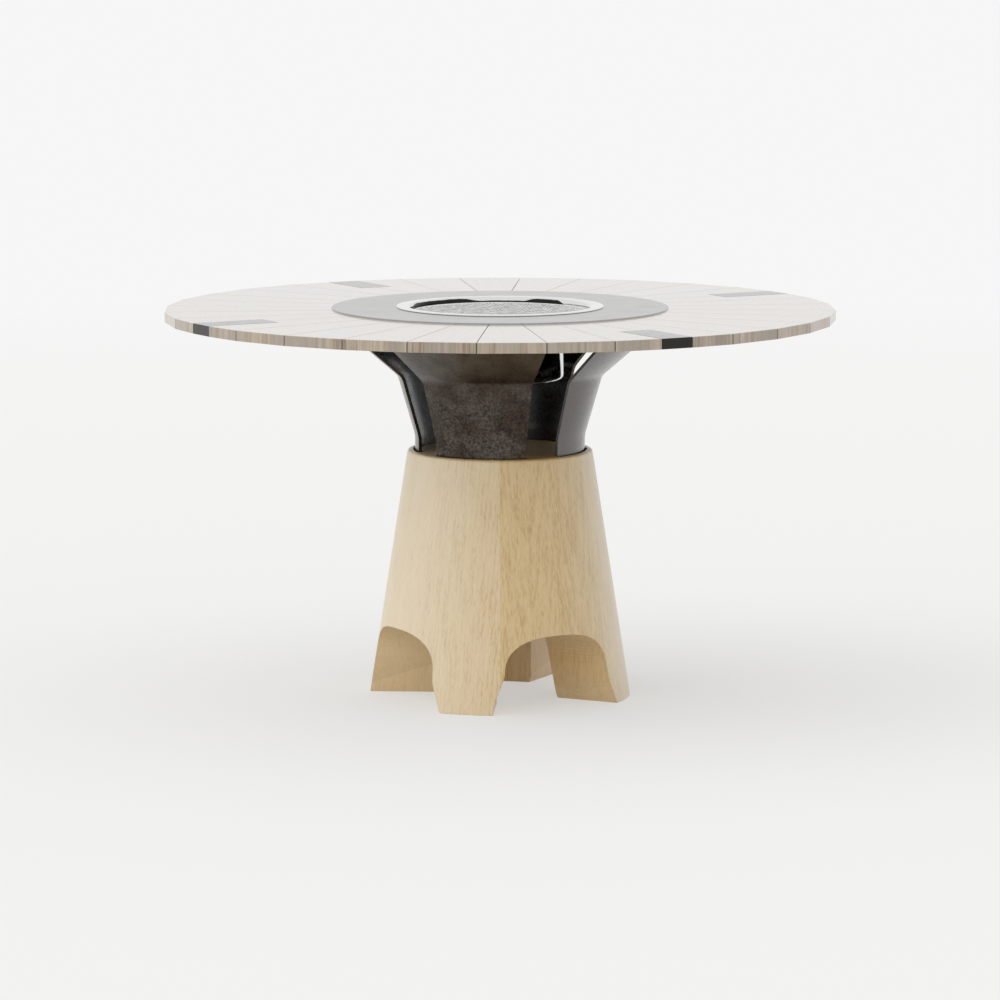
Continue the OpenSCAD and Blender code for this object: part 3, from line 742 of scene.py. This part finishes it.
def board_outline(wood, index, plate_half, plate_start):
    """A wedge between two straight sides and a straight end: half its width at a distance x is x times the
    tangent of half the board's angle, less half the gap. A board beside an end plate is cut back from it."""
    half = math.pi / wood.board_count
    middle = (index + 0.5) * 2 * half
    out = wood.top_radius * math.cos(half)
    x = np.array([wood.board_start, out, out, wood.board_start])
    y = (x * math.tan(half) - wood.board_gap / 2 / math.cos(half)) * np.array([-1, -1, 1, 1])
    cos, sin = math.cos(middle), math.sin(middle)
    outline = np.stack([x * cos - y * sin, x * sin + y * cos], 1)
    nearest = round(middle / (math.pi / 2)) * (math.pi / 2)
    side = middle - nearest
    if abs(side) > 2 * half:
        return outline
    # In the frame of the plate's axis, the side that runs along the plate steps out to the plate's edge.
    back = np.array([[math.cos(nearest), -math.sin(nearest)], [math.sin(nearest), math.cos(nearest)]])
    local = outline @ back
    sign = 1 if side > 0 else -1
    first, second = (0, 1) if sign > 0 else (3, 2)
    run = local[second] - local[2 if sign > 0 else 1]
    slope = run[0] / run[1]
    edge = sign * plate_half
    corner = [local[second, 0] + slope * (edge - local[second, 1]), edge]
    step = np.array([[plate_start, local[first, 1]], [plate_start, edge], corner])
    if sign > 0:
        local = np.concatenate([local[:1], step, local[2:]])
    else:
        local = np.concatenate([local[:2], step[::-1], local[3:]])
    return local @ back.T


def bend(before, corner, after, reach, steps=10):
    """A corner of a path, rounded: the curve t -> (1-t)(1-t) a + 2t(1-t) b + tt c, where b is the corner and
    a and c lie at the reach from it on its two sides."""
    start = corner + (before - corner) / np.linalg.norm(before - corner) * reach
    end = corner + (after - corner) / np.linalg.norm(after - corner) * reach
    t = np.linspace(0, 1, steps + 1)[:, None]
    return (1 - t) ** 2 * start + 2 * t * (1 - t) * corner + t**2 * end


def sheet_outline(path, thickness, steps=8):
    """The outline of a bent sheet: a path of radius and height, a half circle round its end, and the path
    again, moved to its left by the thickness along the mean of the normals of its two runs."""
    runs = np.diff(path, axis=0)
    normals = np.stack([-runs[:, 1], runs[:, 0]], 1) / np.linalg.norm(runs, axis=1, keepdims=True)
    before, after = np.concatenate([normals[:1], normals]), np.concatenate([normals, normals[-1:]])
    upper = path + thickness * (before + after) / (1 + (before * after).sum(1, keepdims=True))
    turn = np.linspace(0, math.pi, steps + 1)[1:-1, None]
    middle, half = (path[-1] + upper[-1]) / 2, thickness / 2
    tip = middle + half * (np.sin(turn) * runs[-1] / np.linalg.norm(runs[-1]) - np.cos(turn) * normals[-1])
    return np.concatenate([path, tip, upper[::-1]])


def spun(outline, count=192):
    """A closed outline of radius and height carried round the Z axis: at each angle, x is the radius times
    the cosine, and y is the radius times the sine."""
    turn = np.arange(count) * 2 * math.pi / count
    points = np.stack(
        [
            np.outer(np.cos(turn), outline[:, 0]),
            np.outer(np.sin(turn), outline[:, 0]),
            np.tile(outline[:, 1], (count, 1)),
        ],
        -1,
    ).reshape(-1, 3)
    size = len(outline)
    here = np.arange(count)[:, None] * size
    there = (here + size) % (count * size)
    low = np.arange(size)[None]
    high = (low + 1) % size
    faces = np.stack([here + low, there + low, there + high, here + high], -1).reshape(-1, 4)
    return points, faces.tolist()


def woven(grate, radius, height):
    """A plain weave in a circle. A wire's height along its length is a cosine of two pitches, and its sign
    changes from wire to wire and between the two directions, so that the wires pass over and under."""
    # A wire has 6 sides, and 3 rings of points in each pitch.
    sides, samples = 6, 3
    lift = grate.wire / 2
    rows = np.arange(-int(radius / grate.pitch), int(radius / grate.pitch) + 1)
    ring = np.arange(sides) * 2 * math.pi / sides
    points, faces, start = [], [], 0
    for direction in (0, 1):
        for row in rows:
            offset = row * grate.pitch
            reach = math.sqrt(max(radius**2 - offset**2, 0))
            if reach < grate.pitch:
                continue
            count = int(2 * reach / grate.pitch * samples) + 2
            s = np.linspace(-reach, reach, count)
            sign = (1 - 2 * (row % 2)) * (1 - 2 * direction)
            up = lift * sign * np.cos(math.pi * s / grate.pitch)
            rise = -lift * sign * math.pi / grate.pitch * np.sin(math.pi * s / grate.pitch)
            normal = np.stack([-rise, np.zeros(count), np.ones(count)], 1)
            normal /= np.linalg.norm(normal, axis=1, keepdims=True)
            centre = np.stack([s, np.full(count, offset), up], 1)
            across = np.cos(ring)[None, :, None] * np.array([0, 1, 0])
            tube = centre[:, None] + grate.wire / 2 * (across + np.sin(ring)[None, :, None] * normal[:, None])
            tube = tube.reshape(-1, 3)
            if direction == 1:
                tube = np.stack([-tube[:, 1], tube[:, 0], tube[:, 2]], 1)
            here = start + np.arange(count - 1)[:, None] * sides + np.arange(sides)[None]
            there = start + np.arange(count - 1)[:, None] * sides + (np.arange(sides)[None] + 1) % sides
            quads = np.stack([here, there, there + sides, here + sides], -1).reshape(-1, 4)
            faces += quads.tolist()
            faces.append(list(range(start + sides - 1, start - 1, -1)))
            faces.append(list(range(start + (count - 1) * sides, start + count * sides)))
            points.append(tube)
            start += len(tube)
    points = np.concatenate(points)
    cos, sin = math.cos(grate.turn), math.sin(grate.turn)
    turned = np.stack([points[:, 0] * cos - points[:, 1] * sin, points[:, 0] * sin + points[:, 1] * cos], 1)
    return np.column_stack([turned, points[:, 2] + height]), faces


# Operators


class GRILLTABLE_OT_boards(bpy.types.Operator):
    """Makes the wedge boards with eased edges, each with its own piece of grain."""

    bl_idname = "grill_table.boards"
    bl_label = "Boards"

    def execute(self, context):
        wood = context.scene.grill_wood
        made = board_wood(wood)
        chance = np.random.default_rng(GRAIN_SEED)
        plate_low, plate_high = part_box("end_plate_right")
        gap = wood.board_gap
        for index in range(wood.board_count):
            node = f"board_{index + 1:02d}"
            low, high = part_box(node)
            outline = board_outline(wood, index, plate_high.y + gap, plate_low.x - gap)
            points, faces = eased_slab(outline, low.z, high.z, wood.arris)
            made_piece = piece(f"eased_{node}", points, faces, made, "table", [node])
            middle = (index + 0.5) * 2 * math.pi / wood.board_count
            cos, sin = math.cos(middle), math.sin(middle)
            along = points[:, 0] * cos + points[:, 1] * sin
            across = points[:, 1] * cos - points[:, 0] * sin
            grain = np.stack([along, across, points[:, 2]], 1) + chance.uniform(-GRAIN_REACH, GRAIN_REACH, 3)
            held = made_piece.data.attributes
            held.new("grain", "FLOAT_VECTOR", "POINT").data.foreach_set("vector", grain.ravel())
            side = across / (along * math.tan(math.pi / wood.board_count) - gap / 2)
            held.new("side", "FLOAT", "POINT").data.foreach_set("value", side)
            tone = np.full(len(points), chance.uniform())
            held.new("tone", "FLOAT", "POINT").data.foreach_set("value", tone)
        return {"FINISHED"}


class GRILLTABLE_OT_plates(bpy.types.Operator):
    """Makes the dark end plates with eased edges."""

    bl_idname = "grill_table.plates"
    bl_label = "End plates"

    def execute(self, context):
        # The oil on the blackened steel gives a near-black face with a pale, clear reflection at a low angle.
        made = plain_metal(
            "mild steel, blackened and oiled",
            context.scene.grill_steel.blackened,
            size=25,
            rough=(0.2, 0.3),
            depth=0.00003,
            spread=0.2,
            Metallic=1.0,
            Coat_Weight=0.7,
            Coat_Roughness=0.06,
        )
        for side in QUARTERS:
            node = f"end_plate_{side}"
            low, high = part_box(node)
            outline = np.array([[low.x, low.y], [high.x, low.y], [high.x, high.y], [low.x, high.y]])
            points, faces = eased_slab(outline, low.z, high.z, context.scene.grill_wood.arris)
            piece(f"eased_{node}", points, faces, made, "table", [node])
        return {"FINISHED"}


class GRILLTABLE_OT_grate(bpy.types.Operator):
    """Makes the woven cooking grate inside its wire, and finishes the wire and the charcoal grate."""

    bl_idname = "grill_table.grate"
    bl_label = "Grates"

    def execute(self, context):
        steel = context.scene.grill_steel
        low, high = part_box("grate_frame")
        wire_radius = (high.z - low.z) / 2
        # Drawn wire is bright and uneven, so the weave glitters in light and dark patches.
        made = plain_metal(
            "stainless steel wire, woven",
            steel.wire,
            size=14,
            rough=(0.12, 0.22),
            depth=0.0001,
            spread=0.28,
            Metallic=1.0,
        )
        points, faces = woven(context.scene.grill_grate, high.x - wire_radius, (low.z + high.z) / 2)
        piece("woven_grate", points, faces, made, "cooking_grate", ["grate_mesh"], smooth=True)
        # The polished rod shows as a thin bright circle.
        rod = plain_metal(
            "stainless steel rod, polished",
            steel.polished,
            size=12,
            rough=(0.1, 0.2),
            depth=0.0001,
            Metallic=1.0,
        )
        finish(["grate_frame"], rod)
        # Burnt oil on rough castings gives a dull black with a fine grit.
        iron = plain_metal(
            "cast iron, seasoned",
            steel.cast,
            size=3,
            rough=(0.55, 0.8),
            depth=0.0006,
            spread=0.3,
            Metallic=0.6,
        )
        finish(["charcoal_grate"], iron)
        return {"FINISHED"}


class GRILLTABLE_OT_bowl(bpy.types.Operator):
    """Makes the spun dish of the fire bowl, and finishes its pot and the ring that the bowl hangs in."""

    bl_idname = "grill_table.bowl"
    bl_label = "Bowl and ring"

    def execute(self, context):
        steel = context.scene.grill_steel
        dish = context.scene.grill_dish
        # Fine turning lines on polished steel give a bright mirror that is a little soft.
        spun_steel = turned_metal(
            "stainless steel, spun and polished",
            steel.polished,
            spacing=1.4,
            rough=(0.07, 0.13),
            depth=0.0001,
        )
        finish(["fire_pot"], spun_steel)
        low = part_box("fire_dish")[0].z
        # The same steel, with a painted dark reflection on its wall that gives the bright bowl its dark band
        # inside.
        reflection_painted_steel = turned_metal(
            "stainless steel, spun and sooted",
            steel.polished,
            spacing=1.4,
            rough=(0.07, 0.13),
            depth=0.0001,
            dish=dish,
            low=low,
        )
        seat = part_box("ring_plate")[1].z + RIM_REST
        half = dish.thickness / 2
        start, foot = np.array([dish.floor_start, low]), np.array([dish.wall, low])
        top, end = np.array([dish.wall + dish.lean, seat]), np.array([dish.rim - half, seat])
        lower, upper = bend(start, foot, top, dish.foot_bend), bend(foot, top, end, dish.rim_bend)
        path = np.concatenate([start[None], lower, upper, end[None]])
        points, faces = spun(sheet_outline(path, dish.thickness))
        made = piece(
            "spun_dish",
            points,
            faces,
            reflection_painted_steel,
            "fire_bowl",
            ["fire_dish"],
            smooth=True,
        )
        made.data.set_sharp_from_angle(angle=SHARP_ANGLE)
        # A satin finish spreads the reflections, so the ring is an even mid grey.
        satin = turned_metal(
            "stainless steel, satin", steel.satin, spacing=1.2, rough=(0.22, 0.26), depth=0.00004
        )
        finish(["ring_plate"], satin)
        return {"FINISHED"}


class GRILLTABLE_OT_petals(bpy.types.Operator):
    """Finishes the four flared petals."""

    bl_idname = "grill_table.petals"
    bl_label = "Petals"

    def execute(self, context):
        finish([f"petal_{side}" for side in DIAGONALS], patinated(context.scene.grill_steel))
        return {"FINISHED"}


class GRILLTABLE_OT_frame(bpy.types.Operator):
    """Finishes the arms, the mounting ring, the hoop and the fasteners."""

    bl_idname = "grill_table.frame"
    bl_label = "Frame and fasteners"

    def execute(self, context):
        steel = context.scene.grill_steel
        # Powder coat is black with a fine orange-peel and a weak gloss.
        coat = plain_metal(
            "steel, powder coated",
            steel.powder,
            size=1.2,
            rough=(0.4, 0.52),
            depth=0.0002,
            spread=0.05,
            Metallic=0.0,
        )
        finish([f"arm_{i}" for i in range(1, 9)] + ["mounting_ring", "support_hoop"], coat)
        # Zinc plating is a pale, slightly cloudy grey.
        zinc = plain_metal(
            "steel, zinc plated",
            steel.zinc,
            size=2.5,
            rough=(0.3, 0.45),
            depth=0.0001,
            spread=0.15,
            Metallic=1.0,
        )
        finish(["deck_screws", "studs_and_bolts"], zinc)
        return {"FINISHED"}


class GRILLTABLE_OT_base(bpy.types.Operator):
    """Finishes the staved base and the plug in its top."""

    bl_idname = "grill_table.base"
    bl_label = "Base"

    def execute(self, context):
        made = base_wood(context.scene.grill_wood)
        finish(["wooden_base", "centre_plug"], made)
        return {"FINISHED"}


class GRILLTABLE_OT_stage(bpy.types.Operator):
    """Makes the floor, the light all round, the key light and the camera."""

    bl_idname = "grill_table.stage"
    bl_label = "Studio"

    def execute(self, context):
        studio = context.scene.grill_studio
        # Matt paper has no gloss, so the floor takes only the soft shadow.
        made, tree, shader = blank("paper sweep, matt", Roughness=0.9, Specular_IOR_Level=0.1)
        shader.inputs["Base Color"].default_value = (*studio.floor, 1)
        place = add(tree, "ShaderNodeTexCoord").outputs["Object"]
        far = add(tree, "ShaderNodeVectorMath", {0: place}, operation="LENGTH").outputs["Value"]
        far = add(tree, "ShaderNodeMapRange", {"Value": far, **FLOOR_FADE})
        white = add(
            tree,
            "ShaderNodeMix",
            {0: far, 6: (*studio.white, 1), 7: (*studio.backdrop, 1)},
            data_type="RGBA",
        )
        glow = add(tree, "ShaderNodeEmission", {"Color": white.outputs[2]})
        # The eye and mirrors see the floor with its shadows softened, and plain white far off.
        rays = add(tree, "ShaderNodeLightPath").outputs
        seen = add(
            tree,
            "ShaderNodeMath",
            {0: rays["Is Camera Ray"], 1: rays["Is Glossy Ray"]},
            operation="MAXIMUM",
        )
        seen = add(tree, "ShaderNodeMath", {0: seen, 1: rays["Is Transmission Ray"]}, operation="MAXIMUM")
        share = add(tree, "ShaderNodeMapRange", {"Value": far, "To Min": studio.glow})
        share = add(tree, "ShaderNodeMath", {0: share, 1: seen}, operation="MULTIPLY")
        mixed = add(tree, "ShaderNodeMixShader", {0: share, 1: shader, 2: glow})
        tree.links.new(mixed.outputs[0], tree.nodes["Material Output"].inputs["Surface"])
        turn = np.linspace(0, 2 * math.pi, FLOOR_SIDES + 1)[:-1]
        rim = np.stack([np.cos(turn), np.sin(turn), 0 * turn], 1) * studio.floor_radius
        piece("floor", rim, [list(range(len(rim)))], made, None)
        world = bpy.data.worlds.new("studio")
        world.use_nodes = True
        world.node_tree.nodes["Background"].inputs["Color"].default_value = (*studio.backdrop, 1)
        context.scene.world = world
        sun = bpy.data.lights.new("key", "SUN")
        sun.energy, sun.angle = studio.key, studio.key_spread
        key = bpy.data.objects.new("key", sun)
        key.rotation_euler = (0, math.pi / 2 - studio.key_height, studio.key_side)
        # The key lights the table, but the steel doesn't mirror it.
        key.visible_glossy = False
        context.scene.collection.objects.link(key)
        camera = bpy.data.cameras.new("camera")
        camera.lens, camera.sensor_width, camera.clip_end = CAMERA_LENS, CAMERA_SENSOR, CAMERA_REACH
        view = bpy.data.objects.new("camera", camera)
        view.location = CAMERA_PLACE
        towards = math.atan2(-CAMERA_PLACE[0], CAMERA_PLACE[1]) + math.pi
        view.rotation_euler = (math.pi / 2 - CAMERA_DOWN, 0, towards)
        context.scene.collection.objects.link(view)
        context.scene.camera = view
        context.scene.view_settings.view_transform = "Standard"
        return {"FINISHED"}


class GRILLTABLE_PT_panel(bpy.types.Panel):
    """Lists the settings and the operators in the sidebar."""

    bl_idname = "GRILLTABLE_PT_panel"
    bl_label = "Grill table"
    bl_space_type = "VIEW_3D"
    bl_region_type = "UI"
    bl_category = "Grill table"

    def draw(self, context):
        for name, group in SETTINGS.items():
            box = self.layout.box()
            for setting in group.__annotations__:
                box.prop(getattr(context.scene, name), setting)
        for operator in OPERATORS:
            self.layout.operator(operator.bl_idname)


OPERATORS = (
    GRILLTABLE_OT_boards,
    GRILLTABLE_OT_plates,
    GRILLTABLE_OT_grate,
    GRILLTABLE_OT_bowl,
    GRILLTABLE_OT_petals,
    GRILLTABLE_OT_frame,
    GRILLTABLE_OT_base,
    GRILLTABLE_OT_stage,
)
CLASSES = (*SETTINGS.values(), *OPERATORS, GRILLTABLE_PT_panel)


def register():
    """Registers the classes and gives the scene its groups of settings."""
    for made_class in CLASSES:
        bpy.utils.register_class(made_class)
    for name, group in SETTINGS.items():
        setattr(bpy.types.Scene, name, bpy.props.PointerProperty(type=group))


def unregister():
    """Takes the settings and the classes out again."""
    for name in SETTINGS:
        delattr(bpy.types.Scene, name)
    for made_class in reversed(CLASSES):
        bpy.utils.unregister_class(made_class)


def main():
    """Makes everything in order."""
    register()
    for operator in OPERATORS:
        group, name = operator.bl_idname.split(".")
        getattr(getattr(bpy.ops, group), name)()


if __name__ == "__main__":
    main()
